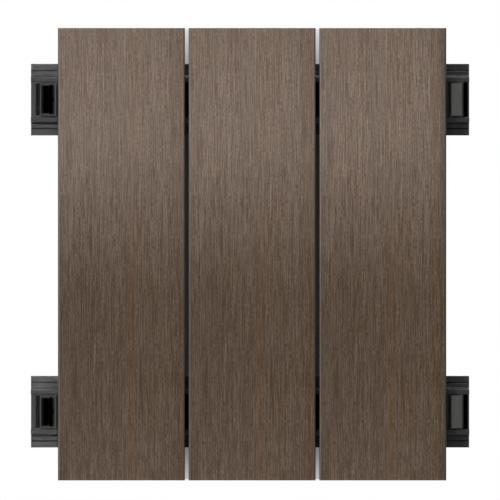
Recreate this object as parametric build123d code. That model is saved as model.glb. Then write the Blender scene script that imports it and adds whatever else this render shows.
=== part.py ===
from build123d import *
import os

# Composite cladding boards clipped side by side on two wall rails, in millimetres.
# X runs along the rails and Z up along the boards. The wall is the plane Y = 0 and the boards face -Y.
# A depth in this file is the distance in front of the wall.

# Boards and their layout
BOARD_COUNT = 3
BOARD_WIDTH = 137.0
BOARD_THICKNESS = 20.0
BOARD_LENGTH = 488.0
BOARD_TOP_REACH = 76.9
BOARD_BOTTOM_REACH = 73.8
JOINT_GAP = 4.0
ARRIS_RADIUS = 1.8
BACK_EDGE_RADIUS = 0.6

# Board back: a rebate along each edge with an undercut kerf for the clips, and relief grooves between
LAND_FROM_JOINT = 15.5
REBATE_DEPTH = 10.5
KERF_LIP = 4.5
KERF_HEIGHT = 3.4
KERF_DEPTH = 3.0
RELIEF_COUNT = 3
RELIEF_PITCH = 30.0
RELIEF_WIDTH = 12.0
RELIEF_DEPTH = 1.5

# Rails: an extruded channel with splayed walls, inward lips and a flange along each edge
RAIL_WIDTH = 77.4
RAIL_HEIGHT = 20.0
RAIL_LEFT_OVERHANG = 29.5
RAIL_RIGHT_OVERHANG = 25.1
RAIL_FLOOR = 2.5
RAIL_WALL = 2.2
RAIL_WALL_SPLAY = 2.1
FLANGE_WIDTH = 12.3
LIP_WIDTH = 5.4
LIP_THICKNESS = 2.5
LINE_FROM_EDGE = 7.35
LINE_WIDTH = 1.4
LINE_DEPTH = 0.7
RAIL_EDGE_RADIUS = 0.4
SCREW_HOLE_DIAMETER = 5.5

# Clips: fits
SLIDE_CLEARANCE = 0.3
NECK_CLEARANCE = 1.3
HOOK_CLEARANCE = 0.3
TONGUE_CLEARANCE = 1.0

# Clips: reach along X from the middle of the joint, and drops from the rail's lips
CLIP_LEFT_REACH = 26.9
CLIP_RIGHT_REACH = 21.0
SHOULDER_LENGTH = 4.6
SHOULDER_DROP = 1.4
LEFT_RECESS_DROP = 13.0
JOINT_RECESS_DROP = 6.0
RIGHT_RECESS_DROP = 11.0
WING_THICKNESS = 4.0

# Clips: hooks that engage the boards' kerfs
JAW_REACH = 2.0
JAW_CREST_SETBACK = 1.2
TONGUE_REACH = 1.6
BARB_UNDERCUT = 0.5
BARB_LAND = 0.6

# Clips: the sprung jaw on the left of the joint
JAW_WALL = 1.3
JAW_SLIT = 1.0
CHEEK_DROP = 3.5
STOP_WALL = 1.4
STOP_RAMP = 2.5
POCKET_FLOOR = 2.5
POCKET_CORNER = 1.2
OUTER_POCKET_WIDTH = 5.2
OUTER_POCKET_LENGTH = 29.6
INNER_POCKET_LENGTH = 32.8
POCKET_RIB = 1.1
POCKET_RIB_DROP = 14.0
RELEASE_NOTCH_RADIUS = 2.0

# Clips: the rigid tongue on the right of the joint
TONGUE_START = 3.2
TONGUE_EASE = 0.6
TONGUE_SKIN = 2.6
GRIP_LINE_COUNT = 5
GRIP_LINE_PITCH = 2.0
GRIP_LINE_WIDTH = 0.5
GRIP_LINE_DEPTH = 0.3

# Layout
board_pitch = BOARD_WIDTH + JOINT_GAP
rail_spacing = BOARD_LENGTH - BOARD_TOP_REACH - BOARD_BOTTOM_REACH
board_top = rail_spacing / 2 + BOARD_TOP_REACH
boards_half = BOARD_COUNT * board_pitch / 2 - JOINT_GAP / 2
rail_left = -boards_half - RAIL_LEFT_OVERHANG
rail_right = boards_half + RAIL_RIGHT_OVERHANG
rail_heights = {"upper": rail_spacing / 2, "lower": -rail_spacing / 2}

# Depths of the board's back
board_front = RAIL_HEIGHT + BOARD_THICKNESS
rebate_floor = RAIL_HEIGHT + REBATE_DEPTH
kerf_back = RAIL_HEIGHT + KERF_LIP
kerf_front = kerf_back + KERF_HEIGHT

# Half widths and depths of the rail's section
rail_half = RAIL_WIDTH / 2
wall_foot = rail_half - FLANGE_WIDTH
wall_head = wall_foot - RAIL_WALL_SPLAY
opening_half = wall_head - LIP_WIDTH
lip_back = RAIL_HEIGHT - LIP_THICKNESS


def board_centres():
    """Places of the boards' middle lines along X."""
    return [(i - (BOARD_COUNT - 1) / 2) * board_pitch for i in range(BOARD_COUNT)]


def joint_centres():
    """Places of the joints along X, with the free edges of the outer boards."""
    return [(i - BOARD_COUNT / 2) * board_pitch for i in range(BOARD_COUNT + 1)]


def inner_wall_half(depth):
    """Half width between the rail's splayed walls at a depth."""
    rise = (depth - RAIL_FLOOR) / (RAIL_HEIGHT - RAIL_FLOOR)
    return wall_foot - RAIL_WALL - RAIL_WALL_SPLAY * rise


def mirrored(half):
    """A whole outline from the points of its positive half."""
    return half + [(-x, depth) for x, depth in reversed(half)]


def section(points):
    """A face in the plane of X and Y from (x, depth) points."""
    return make_face(Polyline([(x, -depth) for x, depth in points], close=True))


def ease(face, points, radius):
    """Round the corners of a section that lie at the given (x, depth) points."""
    corners = [face.vertices().sort_by_distance((x, -depth))[0] for x, depth in points]
    return fillet(corners, radius)


def block(x_from, x_to, depth_from, depth_to, length):
    """A box between two places along X and two depths, centred on Z = 0."""
    place = Pos((x_from + x_to) / 2, -(depth_from + depth_to) / 2, 0)
    return place * Box(abs(x_to - x_from), abs(depth_to - depth_from), length)


def pocket(x_from, x_to, length, floor, front):
    """The space of a pocket with rounded corners, open to the front."""
    plan = RectangleRounded(x_to - x_from, length, POCKET_CORNER)
    place = Plane(((x_from + x_to) / 2, -floor, 0), x_dir=(1, 0, 0), z_dir=(0, -1, 0))
    return extrude(place * plan, amount=front - floor)


def make_board():
    """One board about X = 0: a solid section along Z with a rebate and kerf along both back edges."""
    half = BOARD_WIDTH / 2
    land = board_pitch / 2 - LAND_FROM_JOINT
    outline = mirrored(
        [
            (land, RAIL_HEIGHT),
            (land, kerf_back),
            (land - KERF_DEPTH, kerf_back),
            (land - KERF_DEPTH, kerf_front),
            (land, kerf_front),
            (land, rebate_floor),
            (half, rebate_floor),
            (half, board_front),
        ]
    )
    face = section(outline)
    face = ease(face, mirrored([(half, board_front)]), ARRIS_RADIUS)
    face = ease(face, mirrored([(half, rebate_floor)]), BACK_EDGE_RADIUS)
    for place in GridLocations(RELIEF_PITCH, 0, RELIEF_COUNT, 1):
        face -= place * Pos(0, -RAIL_HEIGHT - RELIEF_DEPTH / 2) * Rectangle(RELIEF_WIDTH, RELIEF_DEPTH)
    middle = board_top - BOARD_LENGTH / 2
    return Pos(0, 0, middle) * extrude(face, amount=BOARD_LENGTH / 2, both=True)


def make_rail():
    """One rail about Z = 0: its section along X, with wall screw holes in the channel's floor."""
    line = rail_half - LINE_FROM_EDGE
    outline = mirrored(
        [
            (rail_half, 0),
            (rail_half, RAIL_FLOOR),
            (line + LINE_WIDTH / 2, RAIL_FLOOR),
            (line, RAIL_FLOOR - LINE_DEPTH),
            (line - LINE_WIDTH / 2, RAIL_FLOOR),
            (wall_foot, RAIL_FLOOR),
            (wall_head, RAIL_HEIGHT),
            (opening_half, RAIL_HEIGHT),
            (opening_half, lip_back),
            (inner_wall_half(lip_back), lip_back),
            (inner_wall_half(RAIL_FLOOR), RAIL_FLOOR),
        ]
    )
    eased_corners = [
        (rail_half, 0),
        (rail_half, RAIL_FLOOR),
        (wall_head, RAIL_HEIGHT),
        (opening_half, RAIL_HEIGHT),
    ]
    face = ease(section(outline), mirrored(eased_corners), RAIL_EDGE_RADIUS)
    bar = extrude(face, amount=(rail_right - rail_left) / 2, both=True)
    rail = Pos((rail_left + rail_right) / 2, 0, 0) * Rot(0, -90, 0) * bar
    for x in board_centres():
        rail -= Pos(x, -RAIL_FLOOR / 2, 0) * Rot(90, 0, 0) * Cylinder(SCREW_HOLE_DIAMETER / 2, RAIL_FLOOR)
    return rail


def make_clip():
    """One moulded clip about its joint: a sprung jaw for the board on its left, a tongue for the next."""
    hook_wall = LAND_FROM_JOINT - HOOK_CLEARANCE
    barb_back = kerf_back + HOOK_CLEARANCE
    barb_tip = barb_back + BARB_UNDERCUT
    crest = kerf_front - HOOK_CLEARANCE
    proud = rebate_floor - TONGUE_CLEARANCE
    cheek = proud - CHEEK_DROP
    jaw_tip = LAND_FROM_JOINT + JAW_REACH
    jaw_inside = JAW_WALL - hook_wall
    ramp_foot = -STOP_WALL - STOP_RAMP
    tongue_tip = LAND_FROM_JOINT + TONGUE_REACH
    left_recess = RAIL_HEIGHT - LEFT_RECESS_DROP
    joint_recess = RAIL_HEIGHT - JOINT_RECESS_DROP
    right_recess = RAIL_HEIGHT - RIGHT_RECESS_DROP
    profile = [
        (-CLIP_LEFT_REACH, RAIL_FLOOR),
        (-CLIP_LEFT_REACH, RAIL_HEIGHT - SHOULDER_DROP),
        (SHOULDER_LENGTH - CLIP_LEFT_REACH, RAIL_HEIGHT - SHOULDER_DROP),
        (SHOULDER_LENGTH - CLIP_LEFT_REACH, left_recess),
        (-hook_wall, left_recess),
        (-hook_wall, barb_back),
        (-jaw_tip, barb_tip),
        (-jaw_tip, barb_tip + BARB_LAND),
        (JAW_CREST_SETBACK - jaw_tip, crest),
        (jaw_inside, cheek),
        (ramp_foot, cheek),
        (-STOP_WALL, proud),
        (0, proud),
        (0, joint_recess),
        (TONGUE_START, joint_recess),
        (TONGUE_START, proud - TONGUE_EASE),
        (TONGUE_START + TONGUE_EASE, proud),
        (hook_wall - TONGUE_EASE, proud),
        (hook_wall, proud - TONGUE_EASE),
        (hook_wall, crest),
        (tongue_tip, barb_tip + BARB_LAND),
        (tongue_tip, barb_tip),
        (hook_wall, barb_back),
        (hook_wall, right_recess),
        (CLIP_RIGHT_REACH, right_recess),
        (CLIP_RIGHT_REACH, RAIL_FLOOR),
    ]
    neck_half = opening_half - NECK_CLEARANCE
    clip = extrude(section(profile), amount=neck_half, both=True)

    # Wings that run under the rail's lips, outside the neck
    wing_front = lip_back - SLIDE_CLEARANCE
    wing_half = inner_wall_half(wing_front) - SLIDE_CLEARANCE
    wings = block(
        -CLIP_LEFT_REACH, CLIP_RIGHT_REACH, wing_front - WING_THICKNESS, wing_front, 2 * wing_half
    )
    wings -= block(-CLIP_LEFT_REACH, CLIP_RIGHT_REACH, 0, RAIL_HEIGHT, 2 * neck_half)
    clip += wings

    # Pockets that let the jaw spring, with a low rib between them
    floor = RAIL_FLOOR + POCKET_FLOOR
    rib_left = jaw_inside + OUTER_POCKET_WIDTH
    rib_right = rib_left + POCKET_RIB
    clip -= pocket(jaw_inside, rib_left, OUTER_POCKET_LENGTH, floor, proud)
    clip -= pocket(rib_right, ramp_foot, INNER_POCKET_LENGTH, floor, proud)
    rib_length = OUTER_POCKET_LENGTH - 2 * POCKET_CORNER
    clip -= block(rib_left, rib_right, cheek - POCKET_RIB_DROP, proud, rib_length)

    # Slits that free the jaw at its two ends
    slit_place = OUTER_POCKET_LENGTH / 2 - POCKET_CORNER
    for side in (-1, 1):
        slit = block(-jaw_tip, jaw_inside, left_recess, proud, JAW_SLIT)
        clip -= Pos(0, 0, side * (slit_place - JAW_SLIT / 2)) * slit

    # Half-round notch for a release tool in the ramp of the stop wall
    notch = Cylinder(RELEASE_NOTCH_RADIUS, proud - floor)
    clip -= Pos(ramp_foot, -(floor + proud) / 2, 0) * Rot(90, 0, 0) * notch

    # Core under the tongue, open towards the rail's floor
    clip -= block(
        TONGUE_START + TONGUE_SKIN,
        hook_wall - TONGUE_SKIN,
        RAIL_FLOOR,
        proud - TONGUE_SKIN,
        2 * (neck_half - TONGUE_SKIN),
    )

    # Grip lines along the tongue's face
    for place in GridLocations(GRIP_LINE_PITCH, 0, GRIP_LINE_COUNT, 1):
        line = block(-GRIP_LINE_WIDTH / 2, GRIP_LINE_WIDTH / 2, proud - GRIP_LINE_DEPTH, proud, 2 * neck_half)
        clip -= Pos((TONGUE_START + hook_wall) / 2, 0, 0) * place * line
    return clip


def main():
    """Build each piece in its place and write it as a node of its own."""
    os.makedirs("parts", exist_ok=True)
    board, rail, clip = make_board(), make_rail(), make_clip()
    nodes = {}
    for number, centre in enumerate(board_centres(), start=1):
        nodes[f"board_{number}"] = Pos(centre, 0, 0) * board
    for level, height in rail_heights.items():
        nodes[f"{level}_rail"] = Pos(0, 0, height) * rail
        for number, centre in enumerate(joint_centres(), start=1):
            nodes[f"{level}_clip_{number}"] = Pos(centre, 0, height) * clip
    for name, solid in nodes.items():
        export_step(solid, f"parts/{name}.step")


main()
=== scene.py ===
"""Looks of a cladding panel: three brushed composite boards clipped on two black wall rails.

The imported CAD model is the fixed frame. The boards are rebuilt here with their brushed grain as real relief, and
the rails and clips keep their CAD solids, with softened edges and finishes of their own. Sizes are in metres.
"""

import logging
import math
from dataclasses import dataclass, field
from enum import Enum
from typing import Union

import bmesh
import bpy
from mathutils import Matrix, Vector, noise


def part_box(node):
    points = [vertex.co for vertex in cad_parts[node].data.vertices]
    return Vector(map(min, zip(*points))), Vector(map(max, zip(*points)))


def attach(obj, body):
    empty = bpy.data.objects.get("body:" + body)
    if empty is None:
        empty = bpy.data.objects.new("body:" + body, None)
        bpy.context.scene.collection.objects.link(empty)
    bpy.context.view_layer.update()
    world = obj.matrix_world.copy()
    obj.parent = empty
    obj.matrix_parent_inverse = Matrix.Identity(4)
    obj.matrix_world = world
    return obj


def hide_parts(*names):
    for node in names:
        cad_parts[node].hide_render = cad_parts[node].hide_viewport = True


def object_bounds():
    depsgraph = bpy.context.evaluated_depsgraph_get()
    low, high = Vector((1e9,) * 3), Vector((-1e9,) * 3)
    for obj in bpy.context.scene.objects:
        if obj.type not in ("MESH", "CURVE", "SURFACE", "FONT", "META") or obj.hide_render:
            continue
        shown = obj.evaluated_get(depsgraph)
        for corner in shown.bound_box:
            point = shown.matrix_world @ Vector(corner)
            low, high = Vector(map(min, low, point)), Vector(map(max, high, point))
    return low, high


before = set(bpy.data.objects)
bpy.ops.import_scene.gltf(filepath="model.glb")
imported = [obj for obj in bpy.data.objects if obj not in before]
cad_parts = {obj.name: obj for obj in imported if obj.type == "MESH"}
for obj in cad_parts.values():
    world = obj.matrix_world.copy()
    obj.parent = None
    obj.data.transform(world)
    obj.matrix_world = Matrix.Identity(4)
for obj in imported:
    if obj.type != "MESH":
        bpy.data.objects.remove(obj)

CAD_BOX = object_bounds()
ROOT = "root"
LOG = logging.getLogger("cladding")
GRAIN_ROUGHNESS = 0.55
NEARBY_SAMPLES = 16

# Brightness of the graded lamps, from the lower to the upper edge of their faces.
FACE_GRADES = ((0.0, 0.24), (0.22, 0.03), (0.40, 0.03), (0.72, 1.0), (1.0, 0.80))
RAIL_GRADES = (
    (0.0, 0.64), (0.078, 0.68), (0.085, 0.50), (0.091, 0.50), (0.098, 0.20), (0.170, 0.20), (0.178, 0.38),
    (0.186, 0.35), (0.190, 0.82), (0.215, 0.76), (0.780, 0.50), (0.798, 0.50), (0.808, 0.60), (0.815, 0.38),
    (0.823, 0.38), (0.830, 0.20), (0.902, 0.20), (0.910, 0.38), (0.919, 0.40), (0.925, 0.78), (0.933, 0.75),
    (0.939, 0.72), (1.0, 0.72),
)
# Painted light on the stage: the white share of the wall behind a joint, from its lower to its upper end, for light
# falling in at the open ends; and the white share of the floor by how open it lies, which paints shade near the
# object.
WALL_SHADES = ((0.0, 0.50), (0.045, 0.265), (0.064, 0.195), (0.15, 0.0), (0.85, 0.0), (0.93, 0.285), (1.0, 0.665))
FLOOR_SHADES = ((0.30, 0.0), (0.60, 0.55), (0.95, 1.0))
# Painted light and shade along an open clip, from its left to its right end: 1 shows the plastic as lit, 0 paints it
# black as shade.
CLIP_PAINTED_LIGHT = (
    (0.0, 0.57), (0.096, 0.57), (0.101, 1.0), (0.192, 1.0), (0.198, 0.56), (0.219, 0.56), (0.226, 0.18),
    (0.269, 0.05), (0.274, 0.0), (0.376, 0.0), (0.381, 0.10), (0.401, 0.10), (0.406, 0.0), (0.478, 0.0),
    (0.482, 0.07), (0.528, 0.20), (0.534, 0.70), (0.559, 0.70), (0.564, 1.0), (0.626, 1.0), (0.631, 0.76),
    (0.877, 0.76), (0.882, 0.95), (0.902, 0.95), (0.909, 0.0), (1.0, 0.0),
)

Socket = bpy.types.NodeSocket
Owner = Union[bpy.types.Material, bpy.types.World, bpy.types.Light]
Colour = tuple[float, float, float]
Triple = tuple[float, float, float]
Pair = tuple[float, float]
# A span maps its first two numbers to its last two.
Span = tuple[float, float, float, float]
Ramp = tuple[Pair, ...]
Feed = Union[float, Triple, Socket]


class Level(Enum):
    """The two heights at which a rail carries the boards."""

    UPPER = "upper"
    LOWER = "lower"


class BoardSide(Enum):
    """The differently worked sides of a board, in the order of its material slots."""

    BRUSHED = 0
    SAWN = 1
    PLANED = 2


@dataclass(frozen=True)
class Grain:
    """A noise pattern: its cells' size along X, Y and Z, its finer octaves, and how far it is moved, in cells."""

    cell: Triple
    detail: float
    seed: float = 0.0


@dataclass
class NodeSheet:
    """The node tree of a material, world or lamp, with short calls that add and wire its nodes."""

    owner: Owner
    tree: bpy.types.NodeTree = field(init=False)

    def __post_init__(self) -> None:
        """Start with an empty tree."""
        self.owner.use_nodes = True
        self.tree = self.owner.node_tree
        self.tree.nodes.clear()

    def feed(self, socket: Socket, value: Feed) -> None:
        """Wire an output into a socket, or set the socket's own value.

        Args:
            socket: the input that is filled.
            value: an output socket, a number or three numbers.
        """
        if isinstance(value, Socket):
            self.tree.links.new(value, socket)
        elif socket.type == "RGBA":
            socket.default_value = (*value, 1.0)
        else:
            socket.default_value = value

    def add(self, kind: str, settings: Union[dict, None] = None, **inputs: Feed) -> bpy.types.Node:
        """Add a node.

        Args:
            kind: Blender's type name of the node.
            settings: values of the node's own properties.
            inputs: what goes into its sockets, by socket name with underscores for spaces.
        Returns:
            The new node.
        """
        node = self.tree.nodes.new(kind)
        for key, value in (settings or {}).items():
            setattr(node, key, value)
        for key, value in inputs.items():
            self.feed(node.inputs[key.replace("_", " ")], value)
        return node

    def math(self, operation: str, *values: Feed) -> Socket:
        """Add a Math node.

        Args:
            operation: its operation.
            values: its one to three inputs, in order.
        Returns:
            The result's socket.
        """
        node = self.add("ShaderNodeMath", {"operation": operation})
        for socket, value in zip(node.inputs, values):
            self.feed(socket, value)
        return node.outputs[0]

    def apart(self, value: Socket, middle: float) -> Socket:
        """How far a value is from a fixed one."""
        return self.math("ABSOLUTE", self.math("SUBTRACT", value, middle))

    def weigh(self, values: tuple[Socket, ...], shares: tuple[float, ...]) -> Socket:
        """Add up values by their shares.

        Args:
            values: the values.
            shares: the share of each one, in the same order.
        Returns:
            The sum's socket.
        """
        total = self.math("MULTIPLY", values[0], shares[0])
        for value, share in zip(values[1:], shares[1:]):
            total = self.math("MULTIPLY_ADD", value, share, total)
        return total

    def span(self, value: Feed, low: float, high: float, start: float = 0.0, end: float = 1.0) -> Socket:
        """Map a value smoothly from one span to another, with both ends clamped.

        Args:
            value: what is mapped.
            low: the value that gives start.
            high: the value that gives end.
            start: the result at low.
            end: the result at high.
        Returns:
            The result's socket.
        """
        node = self.add("ShaderNodeMapRange", {"interpolation_type": "SMOOTHSTEP"})
        for socket, fed in zip(node.inputs, (value, low, high, start, end)):
            self.feed(socket, fed)
        return node.outputs[0]

    def ramp(self, value: Socket, steps: Ramp) -> Socket:
        """Add a ramp of greys.

        Args:
            value: the place on the ramp, from 0 to 1.
            steps: position and shade of each stop, in order.
        Returns:
            The shade's socket.
        """
        node = self.add("ShaderNodeValToRGB", Fac=value)
        stops = node.color_ramp.elements
        while len(stops) < len(steps):
            stops.new(0.5)
        for stop, (position, shade) in zip(stops, steps):
            stop.position = position
            stop.color = (shade, shade, shade, 1.0)
        return node.outputs[0]

    def place(self) -> Socket:
        """The piece's own coordinates, which are the frame's."""
        return self.add("ShaderNodeTexCoord").outputs["Object"]

    def axes(self, place: Socket) -> list[Socket]:
        """The three coordinates of a place."""
        return list(self.add("ShaderNodeSeparateXYZ", Vector=place).outputs)

    def grain(self, place: Socket, grain: Grain) -> Socket:
        """Add a noise pattern.

        Args:
            place: the coordinates.
            grain: the pattern.
        Returns:
            The socket of the noise, from 0 to 1 about 0.5.
        """
        scale = tuple(1.0 / size for size in grain.cell)
        mapped = self.add("ShaderNodeMapping", Vector=place, Scale=scale, Location=(grain.seed,) * 3)
        node = self.add(
            "ShaderNodeTexNoise",
            Vector=mapped.outputs[0],
            Scale=1.0,
            Detail=grain.detail,
            Roughness=GRAIN_ROUGHNESS,
        )
        return node.outputs[0]

    def blend(self, amount: Feed, first: Feed, second: Feed) -> Socket:
        """Mix two colours.

        Args:
            amount: the share of the second.
            first: the colour at 0.
            second: the colour at 1.
        Returns:
            The mixed colour's socket.
        """
        node = self.add("ShaderNodeMix", {"data_type": "RGBA"})
        factor, colour_a, colour_b, result = 0, 6, 7, 2
        for index, value in ((factor, amount), (colour_a, first), (colour_b, second)):
            self.feed(node.inputs[index], value)
        return node.outputs[result]

    def bump(self, height: Socket, strength: float, distance: float) -> Socket:
        """Turn a height into a shading normal.

        Args:
            height: the height, from 0 to 1.
            strength: how much of it shows.
            distance: the height's full size, in metres.
        Returns:
            The normal's socket.
        """
        node = self.add("ShaderNodeBump", Strength=strength, Distance=distance, Height=height)
        return node.outputs[0]

    def seen(self) -> Socket:
        """Tell the rays of the camera, of reflections and of clear pieces from those that carry light.

        Returns:
            A socket that is 1 for the former and 0 for the latter.
        """
        path = self.add("ShaderNodeLightPath").outputs
        direct = self.math("MAXIMUM", path["Is Camera Ray"], path["Is Glossy Ray"])
        return self.math("MAXIMUM", direct, path["Is Transmission Ray"])

    def mix(self, amount: Feed, first: bpy.types.Node, second: bpy.types.Node) -> bpy.types.Node:
        """Mix two shaders.

        Args:
            amount: the share of the second.
            first: the shader at 0.
            second: the shader at 1.
        Returns:
            The node of the mixed shader.
        """
        node = self.add("ShaderNodeMixShader", Fac=amount)
        self.feed(node.inputs[1], first.outputs[0])
        self.feed(node.inputs[2], second.outputs[0])
        return node

    def close(self, shader: bpy.types.Node, output: str = "ShaderNodeOutputMaterial") -> Owner:
        """Wire the shader to the tree's output.

        Args:
            shader: the node whose first output is shown.
            output: Blender's type name of the output node.
        Returns:
            The tree's owner.
        """
        self.add(output, Surface=shader.outputs[0])
        return self.owner

    def surface(self, colour: Socket, roughness: Feed, specular: Feed, normal: Socket) -> Owner:
        """Finish a material with one opaque surface.

        Args:
            colour: its colour.
            roughness: its roughness.
            specular: how strongly it reflects.
            normal: its shading normal.
        Returns:
            The finished material.
        """
        shader = self.add(
            "ShaderNodeBsdfPrincipled",
            Base_Color=colour,
            Roughness=roughness,
            Specular_IOR_Level=specular,
            Normal=normal,
        )
        return self.close(shader)


@dataclass(frozen=True)
class BrushedFinish:
    """The boards' faces: fine streaks, warm bands, arrises and sides with painted light and shade, and a sheen
    fading at the right edge.
    """

    pitch: float
    half: float
    dark: Colour = (0.0400, 0.0148, 0.0005)
    light: Colour = (0.1350, 0.0944, 0.0650)
    warm: tuple[Colour, Colour] = ((0.060, 0.026, 0.0070), (0.134, 0.076, 0.0320))
    grey: Colour = (0.066, 0.049, 0.037)
    # Greyer, darker colour painted along both long edges as the arrises' light and shade.
    edge: Colour = (0.067, 0.0565, 0.0485)
    pore: Colour = (0.022, 0.013, 0.008)
    short: Grain = Grain((0.00065, 0.00065, 0.0039), 0.0, 7.3)
    middle: Grain = Grain((0.00065, 0.00065, 0.0150), 0.0)
    long: Grain = Grain((0.00070, 0.00070, 0.0900), 1.0, 5.2)
    band: Grain = Grain((0.0060, 0.0060, 0.240), 1.5, 3.1)
    cloud: Grain = Grain((0.0180, 0.0180, 0.110), 1.0, 11.7)
    patch: Grain = Grain((0.0040, 0.0040, 0.045), 1.0, 8.6)
    tone_shares: Triple = (0.31, 0.295, 0.395)
    tone_range: Pair = (0.375, 0.67)
    warm_lines: tuple[Triple, ...] = ((0.0095, 0.0090, 0.85), (0.0270, 0.0060, 0.40), (0.0640, 0.0036, 0.75))
    band_warmth: Span = (0.50, 0.80, 0.0, 0.25)
    patch_warmth: Span = (0.35, 0.65, 0.55, 1.0)
    height_warmth: Span = (0.16, -0.10, 0.55, 0.85)
    cloud_grey: Span = (0.48, 0.80, 0.0, 0.2)
    pore_share: Span = (0.30, 0.15, 0.0, 0.5)
    painted_side_shade: Span = (-0.02, 0.10, -0.06, 0.10)
    edge_width: float = 0.0045
    painted_edge_share: float = 0.9
    roughness: Span = (0.25, 0.75, 0.405, 0.39)
    sheen: Span = (0.024, 0.002, 0.261, 0.180)
    bump: float = 0.10
    relief: float = 0.00005

    def warmth(self, sheet: NodeSheet, across: Socket, place: Socket) -> Socket:
        """How warm the board is: faint bands anywhere, and a few patchy lines at set places.

        Args:
            sheet: the material's nodes.
            across: the distance from the board's middle line.
            place: the coordinates within the board.
        Returns:
            The socket of the warmth, from 0 to 1.
        """
        total = sheet.span(sheet.grain(place, self.band), *self.band_warmth)
        for middle, reach, amount in self.warm_lines:
            line = sheet.span(sheet.apart(across, middle), reach, 0.0, 0.0, amount)
            total = sheet.math("MAXIMUM", total, line)
        patch = sheet.grain(place, self.patch)
        return sheet.math("MULTIPLY", total, sheet.span(patch, *self.patch_warmth))

    def build(self) -> bpy.types.Material:
        """Make the material.

        Returns:
            The finished material.
        """
        sheet = NodeSheet(bpy.data.materials.new("brushed_board"))
        x, y, z = sheet.axes(sheet.place())
        across = sheet.math("WRAP", x, self.pitch / 2, -self.pitch / 2)
        place = sheet.add("ShaderNodeCombineXYZ", X=across, Y=y, Z=z).outputs[0]
        short, middle, long = (sheet.grain(place, grain) for grain in (self.short, self.middle, self.long))

        tone = sheet.weigh((short, middle, long), self.tone_shares)
        paleness = sheet.span(tone, *self.tone_range)
        warmth = sheet.math("MULTIPLY", self.warmth(sheet, across, place), sheet.span(z, *self.height_warmth))
        plain, warm = sheet.blend(paleness, self.dark, self.light), sheet.blend(paleness, *self.warm)
        colour = sheet.blend(warmth, plain, warm)
        cloud = sheet.grain(place, self.cloud)
        colour = sheet.blend(sheet.span(cloud, *self.cloud_grey), colour, self.grey)
        colour = sheet.blend(sheet.span(short, *self.pore_share), colour, self.pore)
        # Painted light and shade: each board's colour is scaled lighter on its left and darker on its right near the
        # top, the other way round near the bottom.
        leftward = sheet.math("DIVIDE", across, -self.pitch)
        shade = sheet.math("MULTIPLY_ADD", leftward, sheet.span(z, *self.painted_side_shade), 1.0)
        shaded = sheet.add("ShaderNodeVectorMath", {"operation": "SCALE"}, Vector=colour, Scale=shade).outputs[0]
        # Painted reflection and shade: both long edges blend to a greyer, darker colour that stands in for how light
        # falls on the rounded arrises.
        aside, inner = sheet.math("ABSOLUTE", across), self.half - self.edge_width
        painted_arris = sheet.span(aside, inner, self.half, 0.0, self.painted_edge_share)
        from_right = sheet.math("SUBTRACT", self.half, across)
        return sheet.surface(
            sheet.blend(painted_arris, shaded, self.edge),
            sheet.span(middle, *self.roughness),
            sheet.span(from_right, *self.sheen),
            sheet.bump(tone, self.bump, self.relief),
        )


@dataclass(frozen=True)
class SawnFinish:
    """The boards' cut ends: packed fibre ends, crossed by faint saw lines."""

    dark: Colour = (0.036, 0.023, 0.015)
    light: Colour = (0.110, 0.076, 0.051)
    fibre: Grain = Grain((0.0011, 0.0008, 0.0011), 2.0)
    clump: Grain = Grain((0.0052, 0.0030, 0.0052), 1.0, 5.9)
    saw: Grain = Grain((0.0013, 0.0400, 0.0013), 1.0, 2.2)
    tone_shares: Pair = (0.6, 0.4)
    tone_range: Pair = (0.32, 0.70)
    height_shares: Pair = (0.5, 0.5)
    roughness: Span = (0.25, 0.75, 0.78, 0.62)
    specular: float = 0.20
    bump: float = 0.7
    relief: float = 0.00008

    def build(self) -> bpy.types.Material:
        """Make the material.

        Returns:
            The finished material.
        """
        sheet = NodeSheet(bpy.data.materials.new("sawn_board_end"))
        place = sheet.place()
        fibre, clump, saw = (sheet.grain(place, grain) for grain in (self.fibre, self.clump, self.saw))
        tone = sheet.weigh((fibre, clump), self.tone_shares)
        height = sheet.weigh((fibre, saw), self.height_shares)
        return sheet.surface(
            sheet.blend(sheet.span(tone, *self.tone_range), self.dark, self.light),
            sheet.span(fibre, *self.roughness),
            self.specular,
            sheet.bump(height, self.bump, self.relief),
        )


@dataclass(frozen=True)
class PlanedFinish:
    """The boards' backs and rebates: planed smooth, with paler open grain and faint cutter ripples."""

    dark: Colour = (0.046, 0.030, 0.020)
    light: Colour = (0.084, 0.058, 0.039)
    pore: Colour = (0.026, 0.017, 0.011)
    streak: Grain = Grain((0.0016, 0.0016, 0.045), 2.0, 4.4)
    pores: Grain = Grain((0.0008, 0.0008, 0.006), 1.0, 8.8)
    tone_range: Pair = (0.28, 0.72)
    pore_share: Span = (0.36, 0.22, 0.0, 0.8)
    ripple_pitch: float = 0.0045
    ripple_share: float = 0.25
    roughness: Span = (0.25, 0.75, 0.62, 0.50)
    specular: float = 0.25
    bump: float = 0.5
    relief: float = 0.00005

    def build(self) -> bpy.types.Material:
        """Make the material.

        Returns:
            The finished material.
        """
        sheet = NodeSheet(bpy.data.materials.new("planed_board_back"))
        place = sheet.place()
        streak, pores = sheet.grain(place, self.streak), sheet.grain(place, self.pores)
        along = sheet.axes(place)[2]
        ripple = sheet.math("SINE", sheet.math("MULTIPLY", along, 2.0 * math.pi / self.ripple_pitch))
        colour = sheet.blend(sheet.span(streak, *self.tone_range), self.dark, self.light)
        height = sheet.math("MULTIPLY_ADD", ripple, self.ripple_share, streak)
        return sheet.surface(
            sheet.blend(sheet.span(pores, *self.pore_share), colour, self.pore),
            sheet.span(streak, *self.roughness),
            self.specular,
            sheet.bump(height, self.bump, self.relief),
        )


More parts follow.
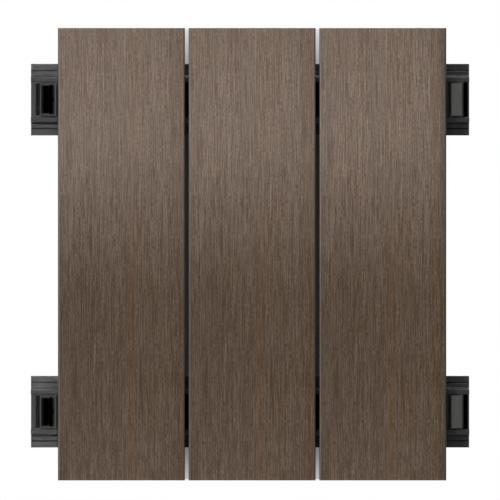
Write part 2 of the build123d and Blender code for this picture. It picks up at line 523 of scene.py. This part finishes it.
@dataclass(frozen=True)
class AnodisedFinish:
    """The rails: black anodised aluminium with die lines along the extrusion and painted shade that darkens their
    edges to near black.
    """

    black: Colour = (0.0145, 0.0151, 0.0149)
    faded: Colour = (0.0180, 0.0187, 0.0181)
    # Near black painted onto the edges as shade.
    edge: Colour = (0.006, 0.006, 0.006)
    die: Grain = Grain((0.600, 0.0007, 0.0007), 2.0)
    cloud: Grain = Grain((0.030, 0.012, 0.012), 2.0, 6.1)
    tone_shares: Pair = (0.5, 0.5)
    tone_range: Pair = (0.30, 0.70)
    edge_radius: float = 0.0007
    painted_edge_share: Span = (0.995, 0.85, 0.0, 0.8)
    roughness: Span = (0.30, 0.70, 0.357, 0.343)
    specular: float = 0.235
    bump: float = 0.06
    relief: float = 0.00003

    def facing(self, sheet: NodeSheet) -> Socket:
        """How level the surface is round a point, which falls off at the edges.

        Args:
            sheet: the material's nodes.
        Returns:
            A socket that is 1 on flat faces and less at edges.
        """
        rounded = sheet.add("ShaderNodeBevel", {"samples": NEARBY_SAMPLES}, Radius=self.edge_radius)
        node = sheet.add("ShaderNodeVectorMath", {"operation": "DOT_PRODUCT"})
        sheet.feed(node.inputs[0], rounded.outputs[0])
        sheet.feed(node.inputs[1], sheet.add("ShaderNodeNewGeometry").outputs["Normal"])
        return node.outputs["Value"]

    def build(self) -> bpy.types.Material:
        """Make the material.

        Returns:
            The finished material.
        """
        sheet = NodeSheet(bpy.data.materials.new("anodised_rail"))
        place = sheet.place()
        die, cloud = sheet.grain(place, self.die), sheet.grain(place, self.cloud)
        tone = sheet.weigh((die, cloud), self.tone_shares)
        colour = sheet.blend(sheet.span(tone, *self.tone_range), self.black, self.faded)
        return sheet.surface(
            # Painted shade: the colour goes near black at the edges, where the Bevel node's normal turns away from
            # the face's.
            sheet.blend(sheet.span(self.facing(sheet), *self.painted_edge_share), colour, self.edge),
            sheet.span(tone, *self.roughness),
            self.specular,
            sheet.bump(die, self.bump, self.relief),
        )


@dataclass(frozen=True)
class MouldedFinish:
    """The clips: moulded plastic with painted light and shade: grey where light reaches an open clip, near black in
    its pockets and on the clips under the boards.
    """

    start: float
    length: float
    pitch: float
    level: float
    black: Colour = (0.102, 0.102, 0.098)
    faded: Colour = (0.124, 0.124, 0.119)
    shade_black: Colour = (0.003, 0.003, 0.003)
    texture: Grain = Grain((0.00045, 0.00045, 0.00045), 1.0)
    flow: Grain = Grain((0.0040, 0.0090, 0.0140), 2.0, 9.4)
    tone_shares: Pair = (0.3, 0.7)
    tone_range: Pair = (0.32, 0.68)
    bar_light: Span = (0.0146, 0.0158, 0.0, 0.50)
    bar_end: float = 0.56
    outer_clip_light: Span = (0.150, 0.190, 0.08, 1.0)
    roughness: Span = (0.30, 0.70, 0.48, 0.38)
    sheen: Span = (0.0, 0.6, 0.0, 0.11)
    bump: float = 0.35
    relief: float = 0.00002

    def painted_light(self, sheet: NodeSheet, place: Socket) -> Socket:
        """How lit the plastic is painted: along a clip that no board covers, and on the pockets' bars.

        Args:
            sheet: the material's nodes.
            place: the coordinates.
        Returns:
            The socket of the painted light, from 0 for painted black shade to 1 for the plain plastic.
        """
        x, _, z = sheet.axes(place)
        along = sheet.math("WRAP", sheet.math("SUBTRACT", x, self.start), self.pitch, 0.0)
        share = sheet.math("DIVIDE", along, self.length)
        off = sheet.apart(sheet.math("ABSOLUTE", z), self.level)
        beside_pockets = sheet.math("LESS_THAN", share, self.bar_end)
        bar = sheet.math("MULTIPLY", sheet.span(off, *self.bar_light), beside_pockets)
        # The ramp and the bars paint light; clips under the boards are painted near black as shade.
        grey = sheet.math("MAXIMUM", sheet.ramp(share, CLIP_PAINTED_LIGHT), bar)
        return sheet.math("MULTIPLY", grey, sheet.span(sheet.math("ABSOLUTE", x), *self.outer_clip_light))

    def build(self) -> bpy.types.Material:
        """Make the material.

        Returns:
            The finished material.
        """
        sheet = NodeSheet(bpy.data.materials.new("moulded_clip"))
        place = sheet.place()
        texture, flow = sheet.grain(place, self.texture), sheet.grain(place, self.flow)
        tone = sheet.weigh((texture, flow), self.tone_shares)
        colour = sheet.blend(sheet.span(tone, *self.tone_range), self.black, self.faded)
        painted_light = self.painted_light(sheet, place)
        return sheet.surface(
            # Painted shade: where the painted light is low, the colour goes to near black, and the specular level
            # drops with it.
            sheet.blend(painted_light, self.shade_black, colour),
            sheet.span(flow, *self.roughness),
            sheet.span(painted_light, *self.sheen),
            sheet.bump(texture, self.bump, self.relief),
        )


@dataclass(frozen=True)
class BackdropFinish:
    """A one-sided surface of the stage that is white where it is open and shows its shading elsewhere."""

    name: str
    shades: Ramp
    colour: Colour

    def whiten(self, sheet: NodeSheet, openness: Socket) -> bpy.types.Material:
        """Finish the material.

        Args:
            sheet: the material's nodes.
            openness: the share of plain white, from 0 to 1.
        Returns:
            The finished material.
        """
        white = sheet.add("ShaderNodeEmission", Color=(1.0, 1.0, 1.0), Strength=1.0)
        lit = sheet.add("ShaderNodeBsdfDiffuse", Color=self.colour)
        front = sheet.mix(sheet.seen(), lit, sheet.mix(openness, lit, white))
        back = sheet.add("ShaderNodeBsdfTransparent")
        behind = sheet.add("ShaderNodeNewGeometry").outputs["Backfacing"]
        return sheet.close(sheet.mix(behind, front, back))


@dataclass(frozen=True)
class WallFinish(BackdropFinish):
    """The wall: white, lit only by the lamps behind the joints, with white painted in as light towards their open
    ends.
    """

    joint: float
    middle: float
    half: float
    reach: Pair = (0.008, 0.004)
    soft: float = 0.001

    def build(self) -> bpy.types.Material:
        """Make the material.

        Returns:
            The finished material.
        """
        sheet = NodeSheet(bpy.data.materials.new(self.name))
        x, y, _ = sheet.axes(sheet.place())
        aside = sheet.apart(sheet.math("ABSOLUTE", x), self.joint)
        within = sheet.span(sheet.apart(y, self.middle), self.half, self.half - self.soft)
        covered = sheet.math("MULTIPLY", sheet.span(aside, *self.reach), within)
        height = sheet.math("DIVIDE", sheet.math("SUBTRACT", y, self.middle - self.half), 2.0 * self.half)
        # Painted light: the ramp mixes white in towards the joint's ends.
        dimming = sheet.math("SUBTRACT", 1.0, sheet.ramp(height, self.shades))
        shade = sheet.math("MULTIPLY", covered, dimming)
        return self.whiten(sheet, sheet.math("SUBTRACT", 1.0, shade))


@dataclass(frozen=True)
class FloorFinish(BackdropFinish):
    """The floor: white, with painted shade where the object stands close to it, placed by ambient occlusion."""

    reach: float

    def build(self) -> bpy.types.Material:
        """Make the material.

        Returns:
            The finished material.
        """
        sheet = NodeSheet(bpy.data.materials.new(self.name))
        nearby = sheet.add("ShaderNodeAmbientOcclusion", {"samples": NEARBY_SAMPLES}, Distance=self.reach)
        # Painted shade: where little is open round a point, the plain white gives way to the lamp-lit floor.
        return self.whiten(sheet, sheet.ramp(nearby.outputs["AO"], self.shades))


@dataclass
class BoardSet:
    """The three boards, each rebuilt from its section with brushed relief on its face."""

    count: int = 3
    joint_gap: float = 0.004
    arris: float = 0.0018
    arris_segments: int = 5
    back_edge: float = 0.0006
    back_segments: int = 2
    land_from_edge: float = 0.0135
    rebate: float = 0.0105
    kerf_lip: float = 0.0045
    kerf_height: float = 0.0034
    kerf_depth: float = 0.003
    relief_count: int = 3
    relief_pitch: float = 0.030
    relief_width: float = 0.012
    relief_depth: float = 0.0015
    rows: int = 61
    columns: int = 260
    brush_depth: float = 0.00013
    brush_cell: Pair = (0.0015, 0.026)
    brush_slice: float = 0.37
    fibre_depth: float = 0.00006
    fibre_cell: Pair = (0.0011, 0.011)
    fibre_slice: float = 5.21
    calm_edge: float = 0.0022
    end_facing: float = 0.7
    crease: float = 38.0
    tolerance: float = 1e-5

    def nodes(self) -> list[str]:
        """Names of the boards' CAD nodes, from left to right."""
        return [f"board_{number}" for number in range(1, self.count + 1)]

    def outline(self, half: float, front: float, back: float) -> list[Pair]:
        """Corner points of a board's section.

        Args:
            half: half the board's width.
            front: Y of its face.
            back: Y of its lands.
        Returns:
            The points as (X, Y), in order round the section.
        """
        land = half - self.land_from_edge
        lip, floor = back - self.kerf_lip, back - self.rebate
        side = [
            (land, back),
            (land, lip),
            (land - self.kerf_depth, lip),
            (land - self.kerf_depth, lip - self.kerf_height),
            (land, lip - self.kerf_height),
            (land, floor),
            (half, floor),
            (half, front),
        ]
        points = side + [(-x, y) for x, y in reversed(side)]
        for index in range(self.relief_count):
            middle = (index - (self.relief_count - 1) / 2) * self.relief_pitch
            left, right = middle - self.relief_width / 2, middle + self.relief_width / 2
            bed = back - self.relief_depth
            points += [(left, back), (left, bed), (right, bed), (right, back)]
        return points

    def upright(self, mesh: bmesh.types.BMesh, x: float, y: float) -> list[bmesh.types.BMEdge]:
        """Edges that run along the board at one corner of its section, on both sides.

        Args:
            mesh: the board's mesh, about X = 0.
            x: the corner's distance from the middle.
            y: the corner's Y.
        Returns:
            The edges.
        """
        found = []
        for edge in mesh.edges:
            first, last = (vert.co for vert in edge.verts)
            level = abs(abs(first.x) - x) < self.tolerance and abs(first.y - y) < self.tolerance
            if level and (first - last).xy.length < self.tolerance:
                found.append(edge)
        return found

    def ease(self, mesh: bmesh.types.BMesh, edges: list[bmesh.types.BMEdge], radius: float, segments: int) -> None:
        """Round some edges.

        Args:
            mesh: the board's mesh.
            edges: the edges.
            radius: how far the round reaches.
            segments: how many strips make it.
        """
        bmesh.ops.bevel(
            mesh,
            geom=edges,
            offset=radius,
            offset_type="OFFSET",
            affect="EDGES",
            segments=segments,
            profile=0.5,
            material=-1,
        )

    def brush(self, x: float, z: float, half: float) -> float:
        """How deep the brushed grain is at a point of the face.

        Args:
            x: the point's distance from the board's middle.
            z: its height.
            half: half the board's width.
        Returns:
            The depth below the face.
        """
        calm = min(1.0, max(0.0, half - self.arris - abs(x)) / self.calm_edge)
        streak = noise.noise(Vector((x / self.brush_cell[0], z / self.brush_cell[1], self.brush_slice)))
        fibre = noise.noise(Vector((x / self.fibre_cell[0], z / self.fibre_cell[1], self.fibre_slice)))
        depth = self.brush_depth * (0.5 + 0.5 * streak) + self.fibre_depth * (0.5 + 0.5 * fibre)
        return calm * max(0.0, depth)

    def build(self, name: str) -> bpy.types.Object:
        """Model one board in its place.

        Args:
            name: the CAD node that it replaces.
        Returns:
            The board's object.
        """
        low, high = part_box(name)
        centre, half = (low.x + high.x) / 2, (high.x - low.x) / 2
        mesh = bmesh.new()
        corners = [mesh.verts.new((x, y, low.z)) for x, y in self.outline(half, low.y, high.y)]
        section = mesh.faces.new(corners)
        grown = bmesh.ops.extrude_face_region(mesh, geom=[section])["geom"]
        top = [part for part in grown if isinstance(part, bmesh.types.BMVert)]
        bmesh.ops.translate(mesh, verts=top, vec=(0.0, 0.0, high.z - low.z))
        self.ease(mesh, self.upright(mesh, half, low.y), self.arris, self.arris_segments)
        self.ease(mesh, self.upright(mesh, half, high.y - self.rebate), self.back_edge, self.back_segments)

        lengthwise = [edge for edge in mesh.edges if abs(edge.verts[0].co.z - edge.verts[1].co.z) > self.tolerance]
        bmesh.ops.subdivide_edges(mesh, edges=lengthwise, cuts=self.rows - 1, use_grid_fill=True)
        crosswise = [
            edge
            for edge in mesh.edges
            if all(abs(vert.co.y - low.y) < self.tolerance for vert in edge.verts)
            and abs(edge.verts[0].co.x - edge.verts[1].co.x) > half
        ]
        bmesh.ops.subdivide_edges(mesh, edges=crosswise, cuts=self.columns - 1, use_grid_fill=True)
        for vert in mesh.verts:
            if abs(vert.co.y - low.y) < self.tolerance:
                vert.co.y += self.brush(vert.co.x, vert.co.z, half)
        bmesh.ops.recalc_face_normals(mesh, faces=mesh.faces)
        for face in mesh.faces:
            face.smooth = True
            face.material_index = self.side(face, low.y, high.y).value
        bmesh.ops.translate(mesh, verts=mesh.verts, vec=(centre, 0.0, 0.0))
        return self.place(mesh, name)

    def side(self, face: bmesh.types.BMFace, front: float, back: float) -> BoardSide:
        """Tell how a face of the board is worked.

        Args:
            face: the face.
            front: Y of the board's face.
            back: Y of its lands.
        Returns:
            The side that it belongs to.
        """
        if abs(face.normal.z) > self.end_facing:
            return BoardSide.SAWN
        if face.calc_center_median().y < (front + back - self.rebate) / 2:
            return BoardSide.BRUSHED
        return BoardSide.PLANED

    def place(self, mesh: bmesh.types.BMesh, name: str) -> bpy.types.Object:
        """Turn a finished board mesh into an object of the scene.

        Args:
            mesh: the mesh, which is freed.
            name: the CAD node that it replaces.
        Returns:
            The object.
        """
        data = bpy.data.meshes.new(f"brushed_{name}")
        mesh.to_mesh(data)
        mesh.free()
        data.set_sharp_from_angle(angle=math.radians(self.crease))
        board = bpy.data.objects.new(f"brushed_{name}", data)
        bpy.context.scene.collection.objects.link(board)
        return board

    def dress(self, board: bpy.types.Object, finishes: list[bpy.types.Material]) -> None:
        """Give a board its finishes.

        Args:
            board: the board's object.
            finishes: its materials, in the order of BoardSide.
        """
        for finish in finishes:
            board.data.materials.append(finish)

    def make(self) -> None:
        """Build, dress and hang all the boards."""
        low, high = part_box(self.nodes()[0])
        pitch = high.x - low.x + self.joint_gap
        brushed = BrushedFinish(pitch, (high.x - low.x) / 2)
        finishes = [finish.build() for finish in (brushed, SawnFinish(), PlanedFinish())]
        for name in self.nodes():
            board = self.build(name)
            self.dress(board, finishes)
            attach(board, ROOT)
            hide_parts(name)
            LOG.info("%s: %d faces", board.name, len(board.data.polygons))


@dataclass
class CarriedSolid:
    """CAD nodes that are shown as they are, with softened edges and a finish."""

    edge: float
    segments: int = 2
    merge: float = 1e-6
    flat_angle: float = 0.5
    sharp_angle: float = 40.0

    def soften(self, node: bpy.types.Object) -> None:
        """Ease a node's sharp edges without changing its mesh.

        Args:
            node: the CAD node's object.
        """
        weld = node.modifiers.new("join", "WELD")
        weld.merge_threshold = self.merge
        flat = node.modifiers.new("flat_faces", "DECIMATE")
        flat.decimate_type = "DISSOLVE"
        flat.angle_limit = math.radians(self.flat_angle)
        bevel = node.modifiers.new("eased_edges", "BEVEL")
        bevel.width = self.edge
        bevel.segments = self.segments
        bevel.limit_method = "ANGLE"
        bevel.angle_limit = math.radians(self.sharp_angle)
        bevel.harden_normals = False
        even = node.modifiers.new("even_shading", "WEIGHTED_NORMAL")
        even.keep_sharp = False

    def dress(self, name: str, finish: bpy.types.Material) -> None:
        """Give a node its finish.

        Args:
            name: the CAD node.
            finish: its material.
        """
        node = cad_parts[name]
        node.data.materials.clear()
        node.data.materials.append(finish)
        self.soften(node)
        LOG.info("%s: %s", name, finish.name)


@dataclass
class RailPair(CarriedSolid):
    """The two extruded rails."""

    edge: float = 0.0002

    def make(self) -> None:
        """Dress both rails."""
        finish = AnodisedFinish().build()
        for level in Level:
            self.dress(f"{level.value}_rail", finish)


@dataclass
class ClipRows(CarriedSolid):
    """The moulded clips along both rails."""

    edge: float = 0.0002
    per_rail: int = 4

    def make(self) -> None:
        """Dress every clip."""
        (low, high), (following, _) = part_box("upper_clip_1"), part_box("upper_clip_2")
        finish = MouldedFinish(low.x, high.x - low.x, following.x - low.x, (low.z + high.z) / 2).build()
        for level in Level:
            for number in range(1, self.per_rail + 1):
                self.dress(f"{level.value}_clip_{number}", finish)


@dataclass
class Lamp:
    """One soft rectangular lamp, turned towards a point."""

    name: str
    place: Triple
    aim: Triple
    width: float
    height: float
    power: float
    spread: float = 180.0

    def make(self) -> bpy.types.AreaLight:
        """Add the lamp.

        Returns:
            The lamp's data.
        """
        data = bpy.data.lights.new(self.name, "AREA")
        data.shape = "RECTANGLE"
        data.size = self.width
        data.size_y = self.height
        data.energy = self.power
        data.spread = math.radians(self.spread)
        lamp = bpy.data.objects.new(self.name, data)
        lamp.location = self.place
        lamp.rotation_euler = (Vector(self.aim) - Vector(self.place)).to_track_quat("-Z", "Y").to_euler()
        lamp.visible_camera = False
        bpy.context.scene.collection.objects.link(lamp)
        return data


@dataclass
class GradedLamp(Lamp):
    """A lamp behind a grid whose brightness changes from its lower to its upper edge."""

    grades: Ramp = ((0.0, 0.0), (1.0, 1.0))

    def make(self) -> bpy.types.AreaLight:
        """Add the lamp with its graded face.

        Returns:
            The lamp's data.
        """
        data = super().make()
        sheet = NodeSheet(data)
        face = sheet.add("ShaderNodeNewGeometry").outputs["Parametric"]
        upward = sheet.axes(face)[1]
        glow = sheet.add("ShaderNodeEmission", Color=(1.0, 1.0, 1.0), Strength=sheet.ramp(upward, self.grades))
        return sheet.close(glow, "ShaderNodeOutputLight")


@dataclass
class Studio:
    """The white wall and floor, the lamps and the camera."""

    wall_gap: float = 0.0006
    wall_size: float = 2.4
    wall_colour: Colour = (0.345, 0.35, 0.345)
    floor_drop: float = 0.060
    floor_size: float = 6.0
    floor_colour: Colour = (0.80, 0.80, 0.79)
    floor_reach: float = 0.35
    ambient: float = 0.104
    lens: float = 1200.0
    sensor: float = 36.0
    view_width: float = 0.53935
    view_middle: Pair = (-0.00227, 0.00612)
    view_depth: float = 10.0
    lamps: tuple[Lamp, ...] = (
        Lamp("key_left", (-6.40, -11.0, 1.76), (0.0, -0.04, 0.0), 2.70, 2.90, 1130.0),
        Lamp("overhead", (0.03, -0.12, 1.40), (0.03, -0.06, 0.0), 0.46, 0.25, 38.0),
        GradedLamp(
            "face_sheen", (-0.0654, -0.3334, 0.015), (-0.003, -0.04, 0.015), 0.408, 0.55, 0.378, 3.0, FACE_GRADES
        ),
        GradedLamp("rail_sheen", (-0.2305, -0.24, 0.0), (-0.2305, 0.0, 0.0), 0.041, 0.46, 0.0147, 3.0, RAIL_GRADES),
        Lamp("low_left", (-0.245, -0.026, 0.06), (-0.2305, -0.008, -0.13), 0.03, 0.02, 0.058, 40.0),
        Lamp("low_right", (0.237, -0.026, 0.06), (0.2225, -0.008, -0.13), 0.03, 0.02, 0.020, 40.0),
        Lamp("back_fill", (1.2, 2.4, 1.2), (0.0, 0.0, 0.0), 1.6, 1.6, 30.0),
    )

    def sheet(self, name: str, size: float, finish: Union[WallFinish, FloorFinish]) -> bpy.types.Object:
        """Make a square sheet of the stage about the origin, facing up.

        Args:
            name: its name.
            size: its side.
            finish: its finish.
        Returns:
            The sheet's object.
        """
        mesh = bmesh.new()
        bmesh.ops.create_grid(mesh, x_segments=1, y_segments=1, size=size / 2)
        data = bpy.data.meshes.new(name)
        mesh.to_mesh(data)
        mesh.free()
        data.materials.append(finish.build())
        panel = bpy.data.objects.new(name, data)
        bpy.context.scene.collection.objects.link(panel)
        return panel

    def backdrop(self) -> None:
        """Set up the wall behind the rails and the floor below the boards."""
        low, high = CAD_BOX
        (_, before), (after, top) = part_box("board_2"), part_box("board_3")
        joint, middle, half = (before.x + after.x) / 2, (after.z + top.z) / 2, (top.z - after.z) / 2
        finish = WallFinish("white_wall", WALL_SHADES, self.wall_colour, joint, middle, half)
        wall = self.sheet("wall", self.wall_size, finish)
        wall.rotation_euler = (math.pi / 2, 0.0, 0.0)
        wall.location = (0.0, high.y + self.wall_gap, 0.0)
        wall.visible_diffuse = False
        wall.visible_glossy = False
        wall.visible_shadow = False
        finish = FloorFinish("white_floor", FLOOR_SHADES, self.floor_colour, self.floor_reach)
        floor = self.sheet("floor", self.floor_size, finish)
        floor.location = (0.0, 0.0, low.z - self.floor_drop)
        floor.visible_diffuse = False

    def world(self) -> None:
        """Light the surroundings softly and show them white."""
        sheet = NodeSheet(bpy.data.worlds.new("studio"))
        strength = sheet.span(sheet.seen(), 0.0, 1.0, self.ambient)
        background = sheet.add("ShaderNodeBackground", Color=(1.0, 1.0, 1.0), Strength=strength)
        bpy.context.scene.world = sheet.close(background, "ShaderNodeOutputWorld")

    def camera(self) -> None:
        """Set a long lens square to the boards' faces."""
        data = bpy.data.cameras.new("camera")
        data.lens = self.lens
        data.sensor_width = self.sensor
        distance = self.view_width * self.lens / self.sensor
        data.clip_end = self.view_depth * distance
        camera = bpy.data.objects.new("camera", data)
        camera.location = (self.view_middle[0], CAD_BOX[0].y - distance, self.view_middle[1])
        camera.rotation_euler = (math.pi / 2, 0.0, 0.0)
        bpy.context.scene.collection.objects.link(camera)
        bpy.context.scene.camera = camera

    def make(self) -> None:
        """Set up the stage, the lamps and the camera."""
        bpy.context.scene.view_settings.view_transform = "Standard"
        self.backdrop()
        self.world()
        for lamp in self.lamps:
            lamp.make()
        self.camera()


def main() -> None:
    """Build the boards, dress the rails and clips, and set up the studio."""
    logging.basicConfig(level=logging.INFO, format="%(name)s %(message)s")
    for assembly in (BoardSet(), RailPair(), ClipRows(), Studio()):
        assembly.make()


if __name__ == "__main__":
    main()
